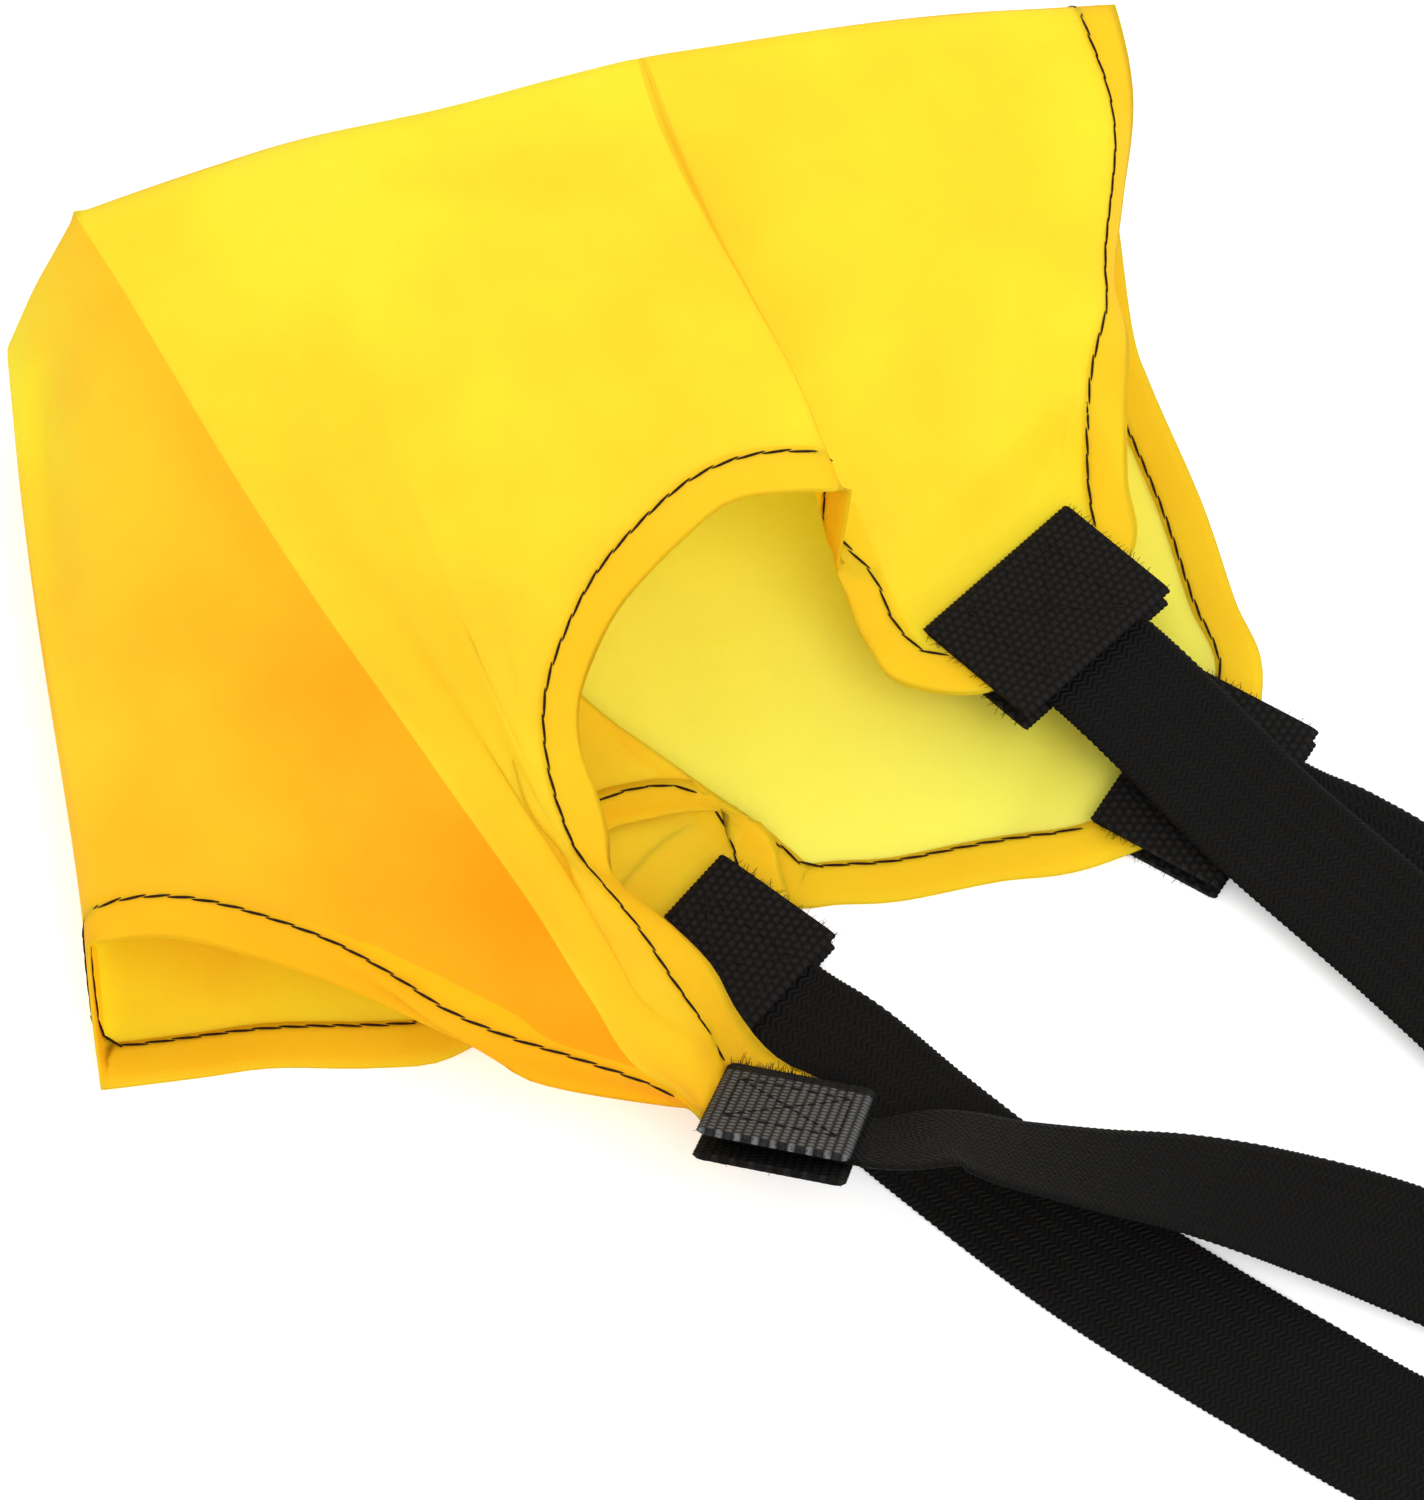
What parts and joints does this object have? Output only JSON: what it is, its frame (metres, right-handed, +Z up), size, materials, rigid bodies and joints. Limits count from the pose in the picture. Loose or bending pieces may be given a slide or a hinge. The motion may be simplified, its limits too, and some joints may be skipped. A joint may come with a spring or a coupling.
{
  "type": "swim parachute",
  "caption": "Square cloth drag parachute for swim training, lying half open, with webbing risers from its corners, a folded tow strap and a waist belt with a side-release buckle.",
  "frame": {"origin": "middle of the underside of the outer patch at corner C, which lies flat on the floor", "axes": "+Z up from the floor, +X from the canopy along the tow strap to the belt, +Y along the belt towards its plug"},
  "size_m": [0.6264, 0.4131, 0.0578],
  "materials": {
    "coated_cloth": "thin bright yellow coated nylon, a little shiny, lets light through",
    "webbing": "matt black woven herringbone webbing",
    "patch_webbing": "matt black woven webbing, laid crosswise, with frayed cut ends",
    "elastic": "matt black ribbed elastic",
    "buckle_plastic": "satin black moulded plastic"
  },
  "bodies": {
    "chute": {"canopy": "coated_cloth", "corner_patch_outer_a": "patch_webbing", "corner_patch_inner_a": "patch_webbing", "corner_patch_outer_b": "patch_webbing", "corner_patch_inner_b": "patch_webbing", "corner_patch_outer_c": "patch_webbing", "corner_patch_inner_c": "patch_webbing", "corner_patch_outer_d": "patch_webbing", "corner_patch_inner_d": "patch_webbing", "riser_strap_a": "webbing", "riser_strap_b": "webbing", "riser_strap_c": "webbing", "riser_strap_d": "webbing", "tow_strap": "webbing", "tow_tie": "elastic", "belt_webbing": "webbing", "belt_tie": "elastic"},
    "keeper": {"belt_keeper": "buckle_plastic"},
    "socket": {"buckle_socket": "buckle_plastic"},
    "plug": {"buckle_plug": "buckle_plastic"},
    "latch_left": {"buckle_latch_left": "buckle_plastic"},
    "latch_right": {"buckle_latch_right": "buckle_plastic"}
  },
  "joints": [
    {"name": "keeper_slide", "type": "slide", "parent": "chute", "child": "keeper", "axis": [0, 1, 0], "range_m": [-0.0035, 0.008]},
    {"name": "socket_swing", "type": "hinge", "parent": "chute", "child": "socket", "pos_m": [0.4745, -0.174, 0.0045], "axis": [-1, 0, 0], "range_deg": [0, 60]},
    {"name": "plug_swing", "type": "hinge", "parent": "chute", "child": "plug", "pos_m": [0.4745, 0.161, 0.0045], "axis": [1, 0, 0], "range_deg": [0, 60]},
    {"name": "latch_left_squeeze", "type": "hinge", "parent": "plug", "child": "latch_left", "pos_m": [0.4615, 0.1802, 0.0045], "axis": [0, 0, -1], "range_deg": [0, 7], "stiffness_Nm_per_rad": 0.02},
    {"name": "latch_right_squeeze", "type": "hinge", "parent": "plug", "child": "latch_right", "pos_m": [0.4875, 0.1802, 0.0045], "axis": [0, 0, 1], "range_deg": [0, 7], "stiffness_Nm_per_rad": 0.02}
  ]
}
